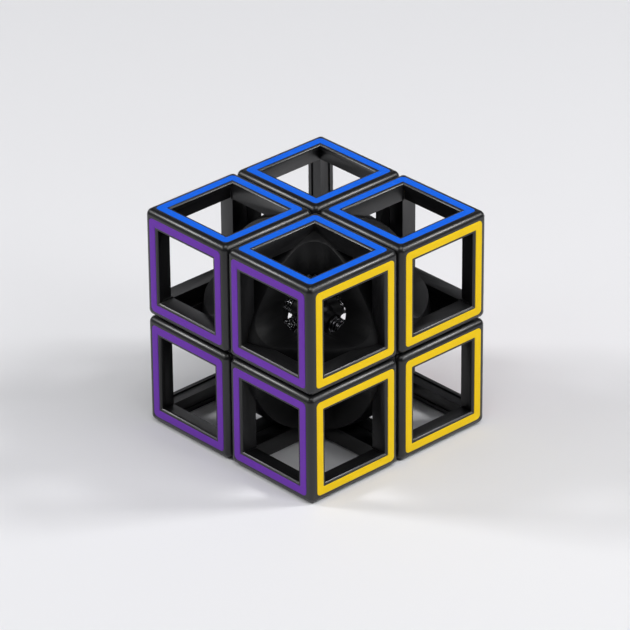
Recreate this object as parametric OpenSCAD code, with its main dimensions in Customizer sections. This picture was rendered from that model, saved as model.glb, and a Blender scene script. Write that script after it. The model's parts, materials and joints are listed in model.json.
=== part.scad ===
// Open-frame twisty cube: eight corner cages held to a spring-loaded six-armed core.
// Row frame: origin at the centre of the cube, +X right, -Y front, +Z up. Millimetres.

/* [Cube] */
// Side of the whole cube, measured across its stickers
side = 57; // [50:0.5:65]
// Gap between neighbouring corner pieces
piece_gap = 0.4; // [0.3:0.05:0.8]
// Radius on the outside edges of a corner cage
edge_radius = 1.7; // [0.4:0.1:1.7]

/* [Corner cage] */
// Width of the bar between a cage's outer face and its window
bar_width = 4.6; // [3:0.1:6]
// Depth of the thin panel that carries a sticker
panel_depth = 1.3; // [0.8:0.1:2]
// How far the bars behind the panel are set back from its window
bar_setback = 0.35; // [0.1:0.05:0.8]
// Chamfer on the window's outer edge
window_chamfer = 0.3; // [0.1:0.05:0.6]

/* [Stickers] */
// Half width of a sticker's outer outline
sticker_half = 12.35; // [11:0.05:12.4]
// Width of a sticker's coloured band
sticker_band = 2; // [1.5:0.1:3]
// Thickness of a sticker
sticker_thick = 0.35; // [0.2:0.05:0.6]
// How far a sticker stands above the black face
sticker_proud = 0.1; // [0.05:0.05:0.3]
// Radius on a sticker's outer corners
sticker_radius = 1.1; // [0.3:0.1:2]

/* [Ball shell] */
// Outer radius of the ball shell
shell_outer = 27; // [25.5:0.1:27]
// Distance from a cut plane to the flat side of an opening
opening_side = 5.3; // [4.6:0.1:6]
// Radius in the three corners of an opening
opening_radius = 6; // [2:0.5:8]
// Radius of the hollow inside the shell
hollow_radius = 19.4; // [17:0.1:21]
// Thickness of the lip that the caps hook over
lip_thick = 1.4; // [1:0.1:2]
// Outer radius of the channel that the caps run in
channel_outer = 24.6; // [23:0.1:25.2]
// Half width of the channel
channel_half = 4.2; // [3.6:0.1:4.6]
// Half width of the slot that the cap necks run in
slot_half = 1.9; // [1.7:0.1:2.4]

/* [Core, caps and springs] */
// Radius of the ball at the middle of the core
core_ball = 4.2; // [3.4:0.1:5]
// Radius of a core arm
arm_radius = 2.6; // [2.3:0.1:3]
// Reach of a core arm from the centre
arm_reach = 6; // [5:0.1:7]
// Radius of a cap's round head
cap_radius = 4; // [3.4:0.1:4.1]
// Radius of a cap's neck
neck_radius = 1.6; // [1.4:0.05:1.7]
// Distance from the centre to the inner end of a cap's neck
neck_start = 17.6; // [17:0.1:18]
// Depth of the screw's seat below the top of the cap
seat_depth = 1.6; // [1.4:0.1:2]
// Radius of a screw's shank
shank_radius = 0.9; // [0.7:0.05:1]
// Radius of a screw's head
screw_head = 1.7; // [1.4:0.1:1.8]
// Radius of a pressure disc
disc_radius = 3.6; // [3:0.1:3.8]
// Mean radius of a spring's coil
coil_radius = 2; // [1.95:0.05:2.2]
// Radius of the spring wire
wire_radius = 0.25; // [0.2:0.05:0.3]
// Number of coils in a spring
coils = 13; // [8:1:14]

/* [Hidden] */
$fn = 96;
half = side / 2;
gap = piece_gap / 2;
face = half - sticker_proud;
seat = half - sticker_thick;
window_lo = bar_width;
window_hi = half - bar_width;
middle = half / 2;
bar_in = bar_width + bar_setback;
bar_out = half - bar_width + bar_setback;
panel_in = face - panel_depth;
sticker_inner = sticker_half - sticker_band;
lip_outer = hollow_radius + lip_thick;
cap_under = lip_outer + 0.1;
cap_top = channel_outer - 0.2;
screw_seat = cap_top - seat_depth;
disc_top = hollow_radius - 0.1;
disc_under = neck_start + 0.4;
coil_lo = arm_reach + wire_radius + 0.05;
coil_hi = disc_under - wire_radius - 0.05;
black = [0.035, 0.036, 0.04];
inner_black = [0.05, 0.05, 0.055];
blue = [0.02, 0.26, 0.78];
purple = [0.30, 0.11, 0.55];
yellow = [0.93, 0.73, 0.01];
green = [0.03, 0.50, 0.16];
red = [0.74, 0.05, 0.05];
white = [0.90, 0.90, 0.88];
steel = [0.74, 0.75, 0.77];

// ---- shared shapes, drawn in the corner where x, y and z are all positive ----

// the same shape seen along X, Y and Z in turn
module three_ways() {
  children();
  rotate([90, 0, 90]) children();
  rotate([-90, -90, 0]) children();
}

// moves a shape from the all-positive corner to the named corner
module at_corner(turn, low) {
  rotate([0, 0, turn])
    rotate([0, low ? 90 : 0, 0])
      children();
}

// square from lo to hi with rounded corners
module rounded_square(lo, hi, r) {
  translate([lo + r, lo]) square([hi - lo - 2 * r, hi - lo]);
  translate([lo, lo + r]) square([hi - lo, hi - lo - 2 * r]);
  for (x = [lo + r, hi - r])
    for (y = [lo + r, hi - r])
      translate([x, y]) circle(r = r);
}

// square column with rounded edges, a little longer than it is wide
module rounded_column(lo, hi, r) {
  translate([0, 0, lo - 1])
    linear_extrude(height = hi - lo + 2)
      rounded_square(lo, hi, r);
}

// what is cut away beyond the ball that rounds one vertex of a block
module vertex_waste(lo, hi, r, x, y, z) {
  c = [x ? hi - r : lo + r, y ? hi - r : lo + r, z ? hi - r : lo + r];
  b = r + 0.5;
  difference() {
    translate([x ? c[0] : c[0] - b, y ? c[1] : c[1] - b, z ? c[2] : c[2] - b]) cube(b);
    translate(c) sphere(r = r + 0.02);
  }
}

// block with its straight edges and its vertices rounded
module rounded_block(lo, hi, r) {
  difference() {
    intersection() {
      rounded_column(lo, hi, r);
      rotate([90, 0, 90]) rounded_column(lo, hi, r);
      rotate([-90, -90, 0]) rounded_column(lo, hi, r);
      translate([lo, lo, lo]) cube(hi - lo);
    }
    for (x = [0, 1])
      for (y = [0, 1])
        for (z = [0, 1])
          if (x + y + z > 0) vertex_waste(lo, hi, r, x, y, z);
  }
}

// flared mouth of a window: a square funnel made from two wedges
module window_mouth() {
  c = window_chamfer;
  lo = window_lo;
  hi = window_hi;
  wedge = [[lo - c, face], [lo - c, face + 1], [hi + c, face + 1],
    [hi + c, face], [hi, face - c], [lo, face - c]];
  intersection() {
    translate([0, hi + c, 0]) rotate([90, 0, 0]) linear_extrude(height = hi - lo + 2 * c) polygon(wedge);
    translate([lo - c, 0, 0]) rotate([90, 0, 90]) linear_extrude(height = hi - lo + 2 * c) polygon(wedge);
  }
}

// everything cut from one of the three outer faces
module outer_cuts() {
  translate([window_lo, window_lo, panel_in - 4]) cube([window_hi - window_lo, window_hi - window_lo, 6]);
  window_mouth();
  translate([0, 0, seat]) linear_extrude(height = 2) sticker_outline();
}

// everything cut from one of the three inner faces
module inner_cuts() {
  translate([-1, -1, -1]) cube([window_hi + 1, window_hi + 1, bar_in + 2]);
}

// open cage of one corner piece
module cage() {
  difference() {
    rounded_block(gap, face, edge_radius);
    translate([bar_in, bar_in, bar_in]) cube([bar_out - bar_in, bar_out - bar_in, panel_in - bar_in]);
    translate([bar_in, bar_in, bar_in]) cube([panel_in - bar_in, bar_out - bar_in, bar_out - bar_in]);
    translate([bar_in, bar_in, bar_in]) cube([bar_out - bar_in, panel_in - bar_in, bar_out - bar_in]);
    three_ways() outer_cuts();
    three_ways() inner_cuts();
    sphere(r = shell_outer + 0.03);
  }
}

// flat outline of a sticker: a square band with rounded outer corners
module sticker_outline() {
  difference() {
    rounded_square(middle - sticker_half, middle + sticker_half, sticker_radius);
    translate([middle - sticker_inner, middle - sticker_inner]) square(2 * sticker_inner);
  }
}

module sticker_flat() {
  translate([0, 0, seat]) linear_extrude(height = sticker_thick) sticker_outline();
}

module sticker_on_top() {
  sticker_flat();
}

module sticker_on_x() {
  rotate([90, 0, 90]) sticker_flat();
}

module sticker_on_y() {
  rotate([-90, -90, 0]) sticker_flat();
}

// square column whose inmost corner is rounded
module opening_column() {
  lo = opening_side;
  r = opening_radius;
  linear_extrude(height = 40) {
    translate([lo + r, lo]) square([40, 40]);
    translate([lo, lo + r]) square([40, 40]);
    translate([lo + r, lo + r]) circle(r = r);
  }
}

// three-sided opening through the shell, rounded where two sides meet
module opening() {
  intersection() {
    opening_column();
    rotate([90, 0, 90]) opening_column();
    rotate([-90, -90, 0]) opening_column();
  }
}

// channel and neck slot that the caps run in, as turned shapes
module channel() {
  intersection() {
    difference() {
      sphere(r = channel_outer);
      sphere(r = lip_outer);
    }
    translate([-30, -30, -channel_half]) cube([60, 60, 2 * channel_half]);
  }
  intersection() {
    sphere(r = lip_outer + 0.2);
    translate([-30, -30, -slot_half]) cube([60, 60, 2 * slot_half]);
  }
}

// eighth of the ball shell, which belongs to one corner piece
module shell() {
  difference() {
    intersection() {
      sphere(r = shell_outer);
      translate([gap, gap, gap]) cube(shell_outer);
    }
    opening();
    sphere(r = hollow_radius);
    three_ways() channel();
  }
}

// round-headed cap that holds four corners in, drawn pointing up
module cap() {
  difference() {
    union() {
      difference() {
        intersection() {
          translate([0, 0, 19]) cylinder(r = cap_radius, h = 8);
          sphere(r = cap_top);
        }
        sphere(r = cap_under);
      }
      translate([0, 0, neck_start]) cylinder(r = neck_radius, h = cap_under - neck_start + 0.5);
    }
    translate([0, 0, neck_start - 1]) cylinder(r = shank_radius + 0.1, h = 12);
    translate([0, 0, screw_seat]) cylinder(r = screw_head + 0.2, h = 4);
  }
}

// disc that a spring presses against the inside of the shell
module pressure_disc() {
  difference() {
    intersection() {
      translate([0, 0, disc_under]) cylinder(r = disc_radius, h = 4);
      sphere(r = disc_top);
    }
    translate([0, 0, disc_under - 1]) cylinder(r = neck_radius + 0.1, h = 5);
  }
}

// cross-headed screw
module screw() {
  difference() {
    union() {
      translate([0, 0, 3]) cylinder(r = shank_radius, h = screw_seat - 2.9);
      translate([0, 0, screw_seat]) cylinder(r = screw_head, h = seat_depth - 0.3);
    }
    translate([-1.2, -0.25, screw_seat + 0.6]) cube([2.4, 0.5, 2]);
    translate([-0.25, -1.2, screw_seat + 0.6]) cube([0.5, 2.4, 2]);
  }
}

// coil spring, drawn as close rings on a thin sleeve
module spring() {
  rotate_extrude() {
    for (i = [0 : coils - 1])
      translate([coil_radius, coil_lo + i * (coil_hi - coil_lo) / (coils - 1)]) circle(r = wire_radius);
    translate([coil_radius - 0.05, coil_lo]) square([0.1, coil_hi - coil_lo]);
  }
}

// the same shape on all six arms
module six_ways() {
  children();
  rotate([180, 0, 0]) children();
  rotate([90, 0, 0]) children();
  rotate([-90, 0, 0]) children();
  rotate([0, 90, 0]) children();
  rotate([0, -90, 0]) children();
}

// ---- the pieces ----

module core() {
  color(inner_black)
    difference() {
      union() {
        sphere(r = core_ball);
        translate([0, 0, -arm_reach]) cylinder(r = arm_radius, h = 2 * arm_reach);
        rotate([90, 0, 0]) translate([0, 0, -arm_reach]) cylinder(r = arm_radius, h = 2 * arm_reach);
        rotate([0, 90, 0]) translate([0, 0, -arm_reach]) cylinder(r = arm_radius, h = 2 * arm_reach);
      }
      six_ways() translate([0, 0, 2.7]) cylinder(r = shank_radius + 0.05, h = 6);
    }
}

module screws() {
  color(steel) six_ways() screw();
}

module pressure_discs() {
  color(inner_black) six_ways() pressure_disc();
}

module cap_top() {
  color(inner_black) cap();
}

module cap_bottom() {
  color(inner_black) rotate([180, 0, 0]) cap();
}

module cap_front() {
  color(inner_black) rotate([90, 0, 0]) cap();
}

module cap_back() {
  color(inner_black) rotate([-90, 0, 0]) cap();
}

module cap_right() {
  color(inner_black) rotate([0, 90, 0]) cap();
}

module cap_left() {
  color(inner_black) rotate([0, -90, 0]) cap();
}

module spring_top() {
  color(steel) spring();
}

module spring_bottom() {
  color(steel) rotate([180, 0, 0]) spring();
}

module spring_front() {
  color(steel) rotate([90, 0, 0]) spring();
}

module spring_back() {
  color(steel) rotate([-90, 0, 0]) spring();
}

module spring_right() {
  color(steel) rotate([0, 90, 0]) spring();
}

module spring_left() {
  color(steel) rotate([0, -90, 0]) spring();
}

module cage_top_back_right() {
  color(black) at_corner(0, false) cage();
}

module cage_top_back_left() {
  color(black) at_corner(90, false) cage();
}

module cage_top_front_left() {
  color(black) at_corner(180, false) cage();
}

module cage_top_front_right() {
  color(black) at_corner(270, false) cage();
}

module cage_bottom_back_right() {
  color(black) at_corner(0, true) cage();
}

module cage_bottom_back_left() {
  color(black) at_corner(90, true) cage();
}

module cage_bottom_front_left() {
  color(black) at_corner(180, true) cage();
}

module cage_bottom_front_right() {
  color(black) at_corner(270, true) cage();
}

module shell_top_back_right() {
  color(inner_black) at_corner(0, false) shell();
}

module shell_top_back_left() {
  color(inner_black) at_corner(90, false) shell();
}

module shell_top_front_left() {
  color(inner_black) at_corner(180, false) shell();
}

module shell_top_front_right() {
  color(inner_black) at_corner(270, false) shell();
}

module shell_bottom_back_right() {
  color(inner_black) at_corner(0, true) shell();
}

module shell_bottom_back_left() {
  color(inner_black) at_corner(90, true) shell();
}

module shell_bottom_front_left() {
  color(inner_black) at_corner(180, true) shell();
}

module shell_bottom_front_right() {
  color(inner_black) at_corner(270, true) shell();
}

module blue_sticker_back_left() {
  color(blue) at_corner(90, false) sticker_on_top();
}

module blue_sticker_back_right() {
  color(blue) at_corner(0, false) sticker_on_top();
}

module blue_sticker_front_left() {
  color(blue) at_corner(180, false) sticker_on_top();
}

module blue_sticker_front_right() {
  color(blue) at_corner(270, false) sticker_on_top();
}

module purple_sticker_bottom_left() {
  color(purple) at_corner(180, true) sticker_on_y();
}

module purple_sticker_bottom_right() {
  color(purple) at_corner(270, true) sticker_on_top();
}

module purple_sticker_top_left() {
  color(purple) at_corner(180, false) sticker_on_y();
}

module purple_sticker_top_right() {
  color(purple) at_corner(270, false) sticker_on_x();
}

module yellow_sticker_bottom_back() {
  color(yellow) at_corner(0, true) sticker_on_top();
}

module yellow_sticker_bottom_front() {
  color(yellow) at_corner(270, true) sticker_on_y();
}

module yellow_sticker_top_back() {
  color(yellow) at_corner(0, false) sticker_on_x();
}

module yellow_sticker_top_front() {
  color(yellow) at_corner(270, false) sticker_on_y();
}

module red_sticker_bottom_left() {
  color(red) at_corner(90, true) sticker_on_top();
}

module red_sticker_bottom_right() {
  color(red) at_corner(0, true) sticker_on_y();
}

module red_sticker_top_left() {
  color(red) at_corner(90, false) sticker_on_x();
}

module red_sticker_top_right() {
  color(red) at_corner(0, false) sticker_on_y();
}

module white_sticker_bottom_back() {
  color(white) at_corner(90, true) sticker_on_y();
}

module white_sticker_bottom_front() {
  color(white) at_corner(180, true) sticker_on_top();
}

module white_sticker_top_back() {
  color(white) at_corner(90, false) sticker_on_y();
}

module white_sticker_top_front() {
  color(white) at_corner(180, false) sticker_on_x();
}

module green_sticker_back_left() {
  color(green) at_corner(90, true) sticker_on_x();
}

module green_sticker_back_right() {
  color(green) at_corner(0, true) sticker_on_x();
}

module green_sticker_front_left() {
  color(green) at_corner(180, true) sticker_on_x();
}

module green_sticker_front_right() {
  color(green) at_corner(270, true) sticker_on_x();
}

core();
screws();
pressure_discs();
cap_top();
cap_bottom();
cap_front();
cap_back();
cap_right();
cap_left();
spring_top();
spring_bottom();
spring_front();
spring_back();
spring_right();
spring_left();
cage_top_back_right();
cage_top_back_left();
cage_top_front_left();
cage_top_front_right();
cage_bottom_back_right();
cage_bottom_back_left();
cage_bottom_front_left();
cage_bottom_front_right();
shell_top_back_right();
shell_top_back_left();
shell_top_front_left();
shell_top_front_right();
shell_bottom_back_right();
shell_bottom_back_left();
shell_bottom_front_left();
shell_bottom_front_right();
blue_sticker_back_left();
blue_sticker_back_right();
blue_sticker_front_left();
blue_sticker_front_right();
purple_sticker_bottom_left();
purple_sticker_bottom_right();
purple_sticker_top_left();
purple_sticker_top_right();
yellow_sticker_bottom_back();
yellow_sticker_bottom_front();
yellow_sticker_top_back();
yellow_sticker_top_front();
red_sticker_bottom_left();
red_sticker_bottom_right();
red_sticker_top_left();
red_sticker_top_right();
white_sticker_bottom_back();
white_sticker_bottom_front();
white_sticker_top_back();
white_sticker_top_front();
green_sticker_back_left();
green_sticker_back_right();
green_sticker_front_left();
green_sticker_front_right();
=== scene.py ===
# %% [markdown]
# # An open-frame twisty cube
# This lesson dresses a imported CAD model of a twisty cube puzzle. The cube is eight open corner
# cages of black plastic, each with square coloured bands let into its outer sides. Inside them
# is a ball shell in eight parts, round a six-armed core with coil springs. The CAD solids could
# be shown as they are, but they lack what light picks out: softened edges, wire wound as wire,
# and finishes. Each cell below adds one of these and leaves the sizes and places to the CAD.

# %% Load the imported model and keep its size
import json
import math

import bmesh
import bpy
import numpy as np
from mathutils import Matrix, Vector


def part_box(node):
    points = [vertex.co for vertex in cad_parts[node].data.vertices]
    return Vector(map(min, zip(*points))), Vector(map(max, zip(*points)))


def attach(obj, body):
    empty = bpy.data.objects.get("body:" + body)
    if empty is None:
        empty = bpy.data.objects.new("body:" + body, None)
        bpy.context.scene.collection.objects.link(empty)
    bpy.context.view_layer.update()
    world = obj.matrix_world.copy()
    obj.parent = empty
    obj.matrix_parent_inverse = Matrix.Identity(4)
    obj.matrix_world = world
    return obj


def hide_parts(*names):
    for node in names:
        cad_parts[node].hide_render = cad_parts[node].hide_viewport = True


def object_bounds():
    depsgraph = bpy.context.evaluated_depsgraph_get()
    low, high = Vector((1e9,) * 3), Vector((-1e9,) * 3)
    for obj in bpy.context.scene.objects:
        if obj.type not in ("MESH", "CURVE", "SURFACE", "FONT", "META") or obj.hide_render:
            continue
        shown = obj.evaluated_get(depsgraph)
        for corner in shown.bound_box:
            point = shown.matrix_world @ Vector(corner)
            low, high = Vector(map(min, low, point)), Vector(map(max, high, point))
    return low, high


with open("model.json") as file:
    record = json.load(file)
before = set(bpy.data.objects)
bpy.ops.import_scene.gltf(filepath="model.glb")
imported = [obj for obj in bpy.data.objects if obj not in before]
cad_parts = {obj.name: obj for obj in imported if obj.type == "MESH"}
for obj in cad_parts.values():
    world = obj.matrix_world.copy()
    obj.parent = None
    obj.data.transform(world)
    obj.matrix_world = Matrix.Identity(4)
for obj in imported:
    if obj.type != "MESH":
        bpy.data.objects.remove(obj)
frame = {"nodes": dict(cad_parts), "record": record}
record = frame["record"]
body_of_node = {n: b for b, ns in record["behaviour"]["bodies"].items() for n in ns}
cad_low, cad_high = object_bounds()
mm = 0.001
half_side = (cad_high.x - cad_low.x) / 2
print("side of the cube:", round(2 * half_side / mm, 3), "mm;", len(frame["nodes"]), "CAD nodes")

# %% [markdown]
# ## The camera
# A cube is easiest to read from a corner, where three sides meet. A short lens close by would
# spread its edges apart, so a long lens stands about a metre off and they stay almost parallel.
# It looks down on the corner where the blue, purple and yellow sides meet. It comes first, so
# that every later look uses the same view.

# %% Camera
VIEW_AZIMUTH, VIEW_ELEVATION, VIEW_ROLL = 47.06, 28.51, -0.48
VIEW_DISTANCE = 38.86 * half_side
LENS_MM, SENSOR_MM = 267.7, 36.0
SHIFT_X, SHIFT_Y = -0.0022, 0.0016
NEAREST_M, FARTHEST_M = 0.05, 20


def direction(azimuth, elevation):
    """Unit vector towards a viewer. Azimuth 0 stands at -Y and grows towards +X."""
    a, e = math.radians(azimuth), math.radians(elevation)
    return Vector((math.sin(a) * math.cos(e), -math.cos(a) * math.cos(e), math.sin(e)))


camera = bpy.data.objects.new("camera", bpy.data.cameras.new("camera"))
bpy.context.scene.collection.objects.link(camera)
towards = direction(VIEW_AZIMUTH, VIEW_ELEVATION)
camera.location = towards * VIEW_DISTANCE
level = (-towards).to_track_quat("-Z", "Y").to_matrix()
camera.matrix_world = (
    Matrix.Translation(camera.location)
    @ (level @ Matrix.Rotation(math.radians(VIEW_ROLL), 3, "Z")).to_4x4()
)
camera.data.lens, camera.data.sensor_width = LENS_MM, SENSOR_MM
camera.data.shift_x, camera.data.shift_y = SHIFT_X, SHIFT_Y
camera.data.clip_start, camera.data.clip_end = NEAREST_M, FARTHEST_M
bpy.context.scene.camera = camera
print("camera", [round(c, 3) for c in camera.location], "m from the centre")

# %% [markdown]
# ## Sums on shader sockets
# A material is a graph of nodes, and sums on its values are Math nodes. Each could be added and
# linked by hand, but then the sum is hard to see. Wrapping a socket in a small class lets it be
# written as 1 - a * b, and each operator adds its own node. Every other node comes from one
# method, which takes the node's type, its settings and what goes into its sockets.


# %% A socket that does sums, and a finish that makes nodes
class Sock:
    """An output socket. An operator on it adds a Math node and gives that node's output."""

    def __init__(self, finish, out):
        self.finish, self.out = finish, out

    def sum(self, operation, a, b):
        return self.finish.add("ShaderNodeMath", {"operation": operation}, {0: a, 1: b})

    def __add__(self, other):
        return self.sum("ADD", self, other)

    __radd__ = __add__

    def __mul__(self, other):
        return self.sum("MULTIPLY", self, other)

    __rmul__ = __mul__

    def __sub__(self, other):
        return self.sum("SUBTRACT", self, other)

    def __rsub__(self, other):
        return self.sum("SUBTRACT", other, self)


class Finish:
    """One material: a Principled shader, and a method that adds any other node."""

    def __init__(self, name):
        self.material = bpy.data.materials.new(name)
        self.material.use_nodes = True
        self.tree = self.material.node_tree
        self.shader = self.tree.nodes["Principled BSDF"]
        self.place = self.add("ShaderNodeTexCoord", {}, {}, "Object")

    def add(self, kind, settings, sockets, out=0):
        """Makes a node of this kind, sets its settings, fills its sockets, gives one output."""
        node = self.tree.nodes.new(kind)
        for key, value in settings.items():
            if key == "ramp":
                stops = node.color_ramp.elements
                while len(stops) < len(value):
                    stops.new(0.5)
                for stop, (at, grey) in zip(stops, value):
                    stop.position, stop.color = at, (grey, grey, grey, 1)
            else:
                setattr(node, key, value)
        for key, value in sockets.items():
            self.fill(node.inputs[key], value)
        return Sock(self, node.outputs[out])

    def fill(self, socket, value):
        if isinstance(value, Sock):
            self.tree.links.new(value.out, socket)
        else:
            socket.default_value = value

    def set(self, **sockets):
        """Fills the shader's sockets, with _ for the spaces in their names."""
        for key, value in sockets.items():
            self.fill(self.shader.inputs[key.replace("_", " ")], value)

    def noise(self, scale, detail=2.0, rough=0.5):
        """Cloudy noise from 0 to 1, with scale lumps to the metre."""
        sockets = {"Vector": self.place, "Scale": scale, "Detail": detail, "Roughness": rough}
        return self.add("ShaderNodeTexNoise", {}, sockets, "Fac")

    def bump(self, height, strength, distance):
        sockets = {"Height": height, "Strength": strength, "Distance": distance}
        return self.add("ShaderNodeBump", {}, sockets, "Normal")


print("shader helpers ready")

# %% [markdown]
# ## Black moulded plastic
# The cages are ABS from a mould whose steel was spark-eroded, which leaves a fine even grain.
# One flat black would look like paint. So a fine noise bumps the surface, which spreads each
# highlight a little, and a few specks are duller. Handling polishes some patches more than
# others, so tone and roughness also drift slowly over each piece. All the noise reads the
# piece's own coordinates, so it turns with the piece.


# %% Black plastic
DRIFT_LUMPS, SPECK_LUMPS, GRAIN_LUMPS = 90.0, 1500.0, 5200.0  # lumps to the metre
SPECK_STOPS = [(0.66, 0.0), (0.8, 1.0)]
SPECK_DULLS = 0.05
GRAIN_DEPTH, GRAIN_SHARE, DRIFT_SHARE = 0.06 * mm, 0.8, 0.2
DARK_SHARE, LIGHT_SHARE, LIGHT_LIFT = 0.9, 1.07, 0.002
PLASTIC_IOR = 1.53


def plastic(name, tint, roughness, drift, grain, shine=0.5):
    """Plastic of this colour: a slow drift in tone and roughness, and a fine even grain."""
    f = Finish(name)
    cloud = f.noise(DRIFT_LUMPS, 3.0)
    fine = f.noise(GRAIN_LUMPS, 3.0, 0.6)
    specks = f.add("ShaderNodeValToRGB", {"ramp": SPECK_STOPS},
                   {"Fac": f.noise(SPECK_LUMPS, 1.0)}, "Color")
    darker = (*[c * DARK_SHARE for c in tint], 1)
    lighter = (*[min(1.0, c * LIGHT_SHARE + LIGHT_LIFT) for c in tint], 1)
    colour = f.add("ShaderNodeMix", {"data_type": "RGBA"},
                   {"Factor": cloud, "A": darker, "B": lighter}, 2)
    dulled = roughness - drift / 2 + drift * cloud + SPECK_DULLS * specks
    f.set(Base_Color=colour, Roughness=dulled, IOR=PLASTIC_IOR, Specular_IOR_Level=shine)
    f.set(Normal=f.bump(fine * GRAIN_SHARE + cloud * DRIFT_SHARE, grain, GRAIN_DEPTH))
    return f.material


cage_black = plastic("cage black", (0.0058, 0.0058, 0.0065), roughness=0.31, drift=0.08,
                     grain=0.32)
# The inner pieces take a darker, less shiny copy of the cage black: painted shade for the dim
# hollow deep inside the cube.
shaded_inner_black = plastic("shaded inner black", (0.0035, 0.0035, 0.004), roughness=0.44, drift=0.10,
                      grain=0.35, shine=0.22)
print("made", cage_black.name, "and", shaded_inner_black.name)

# %% [markdown]
# ## Coloured bands
# Each outer side carries a thin square band of coloured plastic. It is made like the black one,
# with the same function, because it is the same kind of moulding. Its face is rougher than the
# cage's and takes less shine, so its colour stays even, and its grain is fainter.

# %% Band colours
BAND_COLOURS = {
    "blue": (0.0005, 0.118, 0.74),
    "purple": (0.17, 0.034, 0.46),
    "yellow": (0.93, 0.62, 0.0005),
    "green": (0.008, 0.27, 0.05),
    "red": (0.56, 0.012, 0.010),
    "white": (0.78, 0.78, 0.76),
}
band_finish = {c: plastic("band " + c, rgb, roughness=0.46, drift=0.06, grain=0.12, shine=0.16)
               for c, rgb in BAND_COLOURS.items()}
print("band finishes:", ", ".join(band_finish))

# %% [markdown]
# ## Steel
# Spring wire is drawn through a die and screws are rolled, and both leave fine marks. Bright
# steel would outshine the plastic round it, so the metal's colour is darkened. This is painted
# shade, standing for the dim hollow round the springs that they reflect. One noise varies both
# its roughness and its surface.

# %% Steel
# The steel's tint is painted shade: darker than bare steel, for the dim hollow it reflects.
SHADED_STEEL_TINT = (0.17, 0.17, 0.18, 1)
STEEL_ROUGHNESS, MARKS_ROUGHEN = 0.20, 0.12
MARK_LUMPS, MARK_STRENGTH, MARK_DEPTH = 2600.0, 0.1, 0.02 * mm
steel = Finish("drawn steel")
marks = steel.noise(MARK_LUMPS, 2.0)
steel.set(Base_Color=SHADED_STEEL_TINT, Metallic=1.0)
steel.set(Roughness=STEEL_ROUGHNESS + MARKS_ROUGHEN * marks)
steel.set(Normal=steel.bump(marks, MARK_STRENGTH, MARK_DEPTH))
steel_finish = steel.material
print("made", steel_finish.name)

# %% [markdown]
# ## Softened mouldings
# A moulded edge is never sharp: it has a small radius that catches a thin line of light. Each
# cage and shell eighth could be built again in mesh code, but its windows, lips and rounds are
# already right in the CAD. The CAD mesh is loose triangles, so a copy is merged into one skin,
# its flat faces are joined, and a Bevel modifier rounds what is still sharp.


# %% Softened copies of the CAD mouldings
MERGE_GAP = 0.001 * mm
FLAT_ANGLE, SHARP_ANGLE = math.radians(0.6), math.radians(28)
BEVEL_STEPS = 2


def softened(node, name, radius, finish):
    """A merged copy of a CAD node whose sharp edges are rounded to radius (metres)."""
    skin = bmesh.new()
    skin.from_mesh(frame["nodes"][node].data)
    bmesh.ops.remove_doubles(skin, verts=skin.verts, dist=MERGE_GAP)
    bmesh.ops.dissolve_limit(skin, angle_limit=FLAT_ANGLE, verts=skin.verts, edges=skin.edges)
    mesh = bpy.data.meshes.new(name)
    skin.to_mesh(mesh)
    skin.free()
    mesh.materials.clear()
    mesh.materials.append(finish)
    mesh.shade_smooth()
    piece = bpy.data.objects.new(name, mesh)
    bpy.context.scene.collection.objects.link(piece)
    bevel = piece.modifiers.new("soft edges", "BEVEL")
    bevel.width, bevel.segments = radius, BEVEL_STEPS
    bevel.limit_method, bevel.angle_limit = "ANGLE", SHARP_ANGLE
    bevel.harden_normals = True
    bevel.use_clamp_overlap = True
    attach(piece, body_of_node[node])
    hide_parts(node)
    return piece


CAGE_EDGE, SHELL_EDGE = 0.22 * mm, 0.14 * mm
mouldings = []
for node in sorted(frame["nodes"]):
    if node.startswith("cage_"):
        mouldings.append(softened(node, "moulded_" + node, CAGE_EDGE, cage_black))
    elif node.startswith("shell_"):
        mouldings.append(softened(node, "moulded_" + node, SHELL_EDGE, shaded_inner_black))
print(len(mouldings), "cages and shell eighths softened")

# %% [markdown]
# ## Square bands
# A band is a flat square ring, let into the cage so that 0.1 mm of it stands proud. A bevelled
# CAD solid would give all its edges one radius. A real band is softer on its outer corners than
# on its inner ones, and only its front is rounded, so it is built as one profile carried round
# a rounded square. The outer and inner outlines have the same number of points, each profile
# spans from one to the other, and small arcs in it catch the light along the band's rim.

# %% Outlines and bands
BAND_WIDTH = 2.0 * mm
OUTER_CORNER, INNER_CORNER = 1.1 * mm, 0.25 * mm
EDGE_WIDE, EDGE_HIGH = 0.28 * mm, 0.10 * mm
CORNER_POINTS, EDGE_POINTS = 11, 6


def rounded_square(reach, corner, count):
    """Points round a square of half width reach. Each corner is a quarter circle of radius
    corner, with its centre that far in from both sides."""
    turn = np.linspace(0, np.pi / 2, count)
    quarter = np.c_[np.cos(turn), np.sin(turn)] * corner + (reach - corner)
    spins = [np.array([[c, -s], [s, c]]) for c, s in ((1, 0), (0, 1), (-1, 0), (0, -1))]
    return np.concatenate([quarter @ spin.T for spin in spins])


def grid_mesh(name, points, finish):
    """Closes a grid of points, rows by columns, both ways round into a ring-shaped skin."""
    rows, columns = points.shape[:2]
    i, j = np.meshgrid(np.arange(rows), np.arange(columns), indexing="ij")
    k, m = (i + 1) % rows, (j + 1) % columns
    quads = np.stack([i * columns + j, k * columns + j, k * columns + m, i * columns + m], -1)
    mesh = bpy.data.meshes.new(name)
    mesh.from_pydata(points.reshape(-1, 3).tolist(), [], quads.reshape(-1, 4).tolist())
    mesh.materials.append(finish)
    mesh.shade_smooth()
    return mesh


def dressed(name, mesh, node):
    """Puts a finished mesh in the scene in place of a CAD node."""
    piece = bpy.data.objects.new(name, mesh)
    bpy.context.scene.collection.objects.link(piece)
    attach(piece, body_of_node[node])
    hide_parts(node)
    return piece


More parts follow.
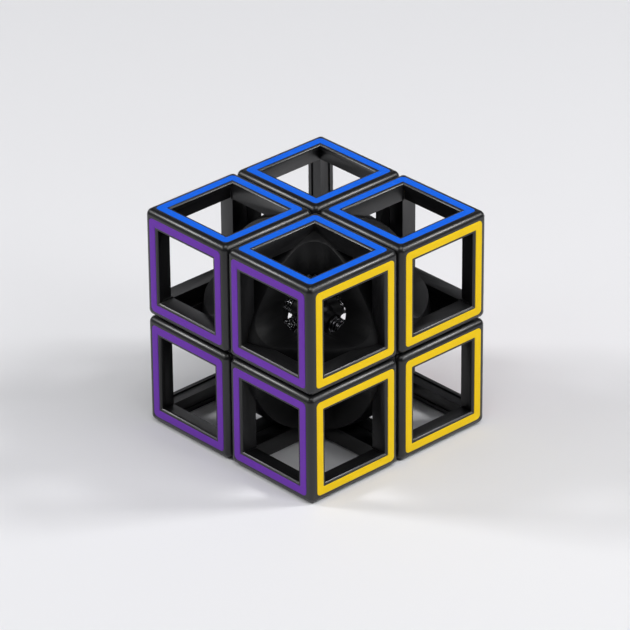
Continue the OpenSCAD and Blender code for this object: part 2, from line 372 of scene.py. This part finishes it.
def band(node):
    """Each point is inner + s * (outer - inner) + h * outward. The pair (s, h) runs round a
    rectangle as wide as the band and as thick as the CAD solid, with rounded outer edges."""
    low, high = (np.array(v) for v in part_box(node))
    centre, size = (low + high) / 2, high - low
    axis = int(np.argmin(size))
    outward = np.zeros(3)
    outward[axis] = np.sign(centre[axis])
    across = np.eye(3)[(axis + 1) % 3]
    along = np.cross(outward, across)
    reach, thick = size.max() / 2, size.min()
    bend = np.linspace(0, np.pi / 2, EDGE_POINTS)
    share = EDGE_WIDE / BAND_WIDTH
    drop = EDGE_HIGH / thick * 2
    s = np.r_[1, 1 - share + share * np.cos(bend), share - share * np.sin(bend), 0]
    h = np.r_[-1, 1 - drop * (1 - np.sin(bend)), 1 - drop * (1 - np.cos(bend)), -1] * thick / 2
    outer = rounded_square(reach, OUTER_CORNER, CORNER_POINTS)
    inner = rounded_square(reach - BAND_WIDTH, INNER_CORNER, CORNER_POINTS)
    flat = inner[:, None] + s[None, :, None] * (outer - inner)[:, None]
    points = centre + flat[..., :1] * across + flat[..., 1:] * along + h[None, :, None] * outward
    name = node.replace("_sticker_", "_band_")
    return dressed(name, grid_mesh(name, points, band_finish[node.split("_")[0]]), node)


bands = [band(n) for n in sorted(frame["nodes"]) if "_sticker_" in n]
print(len(bands), "bands, each with", len(bands[0].data.polygons), "faces")

# %% [markdown]
# ## Coil springs
# A real spring is a single wire wound as a helix, with its last turn at each end lying flat.
# The CAD draws it as rings on a sleeve, whose size is right and whose glints are not. A curve
# with a bevel could make the wire, but its ends are hard to flatten. So the helix is worked out
# point by point, and a circle is carried along it.

# %% Springs
COIL_TURNS, WIRE_RADIUS = 12.0, 0.25 * mm
TURN_POINTS, WIRE_POINTS = 36, 10
FLAT_TURNS, END_PITCH = 0.8, 0.28  # pitch falls to this share of its full value at each end


def wire(path, radius, sides):
    """Points of a round wire: path + radius * (cos a * n + sin a * b), where n and b are at
    right angles to the path, n pointing away from the coil's axis as nearly as it can."""
    tangent = np.gradient(path, axis=0)
    tangent /= np.linalg.norm(tangent, axis=1)[:, None]
    out = path * np.array([1, 1, 0])
    out -= np.sum(out * tangent, 1)[:, None] * tangent
    out /= np.linalg.norm(out, axis=1)[:, None]
    side = np.cross(tangent, out)
    a = np.linspace(0, 2 * np.pi, sides, endpoint=False)
    ring = np.cos(a)[None, :, None] * out[:, None] + np.sin(a)[None, :, None] * side[:, None]
    return path[:, None] + radius * ring


def tube_mesh(name, points, finish):
    """Joins rings of points into a tube, and closes each end with one flat face."""
    rows, columns = points.shape[:2]
    i, j = np.meshgrid(np.arange(rows - 1), np.arange(columns), indexing="ij")
    m = (j + 1) % columns
    quads = np.stack([i * columns + j, i * columns + m, (i + 1) * columns + m,
                      (i + 1) * columns + j], -1).reshape(-1, 4).tolist()
    ends = [list(range(columns))[::-1], [(rows - 1) * columns + c for c in range(columns)]]
    mesh = bpy.data.meshes.new(name)
    mesh.from_pydata(points.reshape(-1, 3).tolist(), [], quads + ends)
    mesh.materials.append(finish)
    mesh.shade_smooth()
    return mesh


def arm_turn(node):
    """The rotation that takes +Z to the arm that a node stands on, and how far out it runs."""
    low, high = (np.array(v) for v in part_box(node))
    centre = (low + high) / 2
    axis = int(np.argmax(np.abs(centre)))
    out = np.zeros(3)
    out[axis] = np.sign(centre[axis])
    reach = sorted((abs(low[axis]), abs(high[axis])))
    turn = Vector((0, 0, 1)).rotation_difference(Vector(out)).to_matrix()
    return np.array(turn), reach[0], reach[1], (high - low)[(axis + 1) % 3] / 2


def spring(node):
    """A point is (coil * cos 2 pi t, coil * sin 2 pi t, height), where t counts turns. Height
    is the running sum of the pitch, which falls off in a straight line near each end."""
    turn, start, stop, outer = arm_turn(node)
    coil = outer - WIRE_RADIUS
    t = np.linspace(0, COIL_TURNS, int(COIL_TURNS * TURN_POINTS) + 1)
    pitch = np.clip(np.minimum(t, COIL_TURNS - t) / FLAT_TURNS, END_PITCH, 1)
    climb = np.concatenate([[0], np.cumsum((pitch[1:] + pitch[:-1]) / 2)])
    height = start + WIRE_RADIUS + climb / climb[-1] * (stop - start - 2 * WIRE_RADIUS)
    path = np.c_[coil * np.cos(2 * np.pi * t), coil * np.sin(2 * np.pi * t), height]
    points = wire(path, WIRE_RADIUS, WIRE_POINTS) @ turn.T
    name = node.replace("spring_", "coil_spring_")
    return dressed(name, tube_mesh(name, points, steel_finish), node)


springs = [spring(n) for n in sorted(frame["nodes"]) if n.startswith("spring_")]
print(len(springs), "springs, each with", len(springs[0].data.polygons), "faces")

# %% [markdown]
# ## Core, caps, discs and screws
# The core holds a screw in each arm. A spring on it pushes a disc out against the shell's lips,
# and a cap holds them from outside. They sit deep inside and are seen only in glimpses, so
# building them again would add nothing: the mouldings get softened edges like the shell, and
# the screws keep the CAD shape, with its cross slot, and take the steel finish.

# %% Inner pieces
INNER_EDGE = 0.1 * mm
inner_pieces = [softened(n, "moulded_" + n, INNER_EDGE, shaded_inner_black)
                for n in sorted(frame["nodes"])
                if n in ("core", "pressure_discs") or n.startswith("cap_")]
screws = frame["nodes"]["screws"]
screws.data.materials.clear()
screws.data.materials.append(steel_finish)
print(len(inner_pieces), "inner mouldings softened")

# %% [markdown]
# ## Floor
# A toy like this is shown on a plain pale sheet. A flat floor and a wall would meet in a line
# behind the cube, so the floor is one sheet that curves up at the back.

# %% Floor
FLOOR_GAP = 0.02 * mm
FLOOR_TINT, FLOOR_ROUGHNESS = (0.80, 0.80, 0.82, 1), 0.7
FLOOR_REACH, FLOOR_RISE, FLOOR_BEND, FLOOR_POINTS = 1.6, 1.4, 0.35, 16  # the first 3 in metres
floor_finish = Finish("pale floor")
floor_finish.set(Base_Color=FLOOR_TINT, Roughness=FLOOR_ROUGHNESS)
arc = np.linspace(0, np.pi / 2, FLOOR_POINTS)
profile = np.concatenate([
    [[-FLOOR_REACH, 0.0]],
    np.c_[FLOOR_REACH - FLOOR_BEND * (1 - np.sin(arc)), FLOOR_BEND * (1 - np.cos(arc))],
    [[FLOOR_REACH, FLOOR_RISE]],
])
away = -np.array(direction(VIEW_AZIMUTH, 0))
sideways = np.array([-away[1], away[0], 0])
up = np.array([0, 0, 1])
edges = [profile[:, :1] * away + profile[:, 1:] * up + side * FLOOR_REACH * sideways
         + up * (cad_low.z - FLOOR_GAP) for side in (-1, 1)]
count = len(profile)
floor_mesh = bpy.data.meshes.new("floor")
floor_mesh.from_pydata(np.concatenate(edges).tolist(), [],
                       [(i, i + count, i + count + 1, i + 1) for i in range(count - 1)])
floor_mesh.materials.append(floor_finish.material)
floor_mesh.shade_smooth()
floor = bpy.data.objects.new("floor", floor_mesh)
bpy.context.scene.collection.objects.link(floor)
print("floor", round(2 * FLOOR_REACH, 2), "m across")

# %% [markdown]
# ## Lights
# Black plastic is seen by what it reflects. One wide soft light overhead and a dimmer one on
# each side could do alone, and give the flat bars their quiet tone. But a rounded edge faces
# halfway between two sides, and none of the three stands where such an edge would reflect it.
# So two small square lights stand there, and draw a thin line of light along the edges.

# %% Lights
LIGHTS = {  # name: (azimuth, elevation, distance m, width m, height m, power W)
    "overhead": (60.0, 74.0, 1.1, 0.6, 0.6, 4.6),
    "left softbox": (-20.0, 34.0, 1.2, 0.4, 0.7, 1.6),
    "right softbox": (105.0, 34.0, 1.2, 0.4, 0.7, 3.8),
    "left edge light": (-53.4, 36.8, 1.2, 0.22, 0.22, 5.4),
    "right edge light": (141.5, 40.0, 1.2, 0.22, 0.22, 6.2),
}
for name, (azimuth, elevation, distance, wide, high, power) in LIGHTS.items():
    lamp = bpy.data.lights.new(name, "AREA")
    lamp.shape, lamp.size, lamp.size_y, lamp.energy = "RECTANGLE", wide, high, power
    light = bpy.data.objects.new(name, lamp)
    bpy.context.scene.collection.objects.link(light)
    aim = direction(azimuth, elevation)
    light.matrix_world = (Matrix.Translation(aim * distance)
                          @ (-aim).to_track_quat("-Z", "Y").to_matrix().to_4x4())
FILL_TINT, FILL_STRENGTH = (0.9, 0.92, 1.0, 1), 0.05
world = bpy.data.worlds.new("studio")
world.use_nodes = True
backdrop = world.node_tree.nodes["Background"]
backdrop.inputs["Color"].default_value = FILL_TINT
backdrop.inputs["Strength"].default_value = FILL_STRENGTH
bpy.context.scene.world = world
bpy.context.scene.view_settings.view_transform = "Standard"
print(len(LIGHTS), "soft lights")
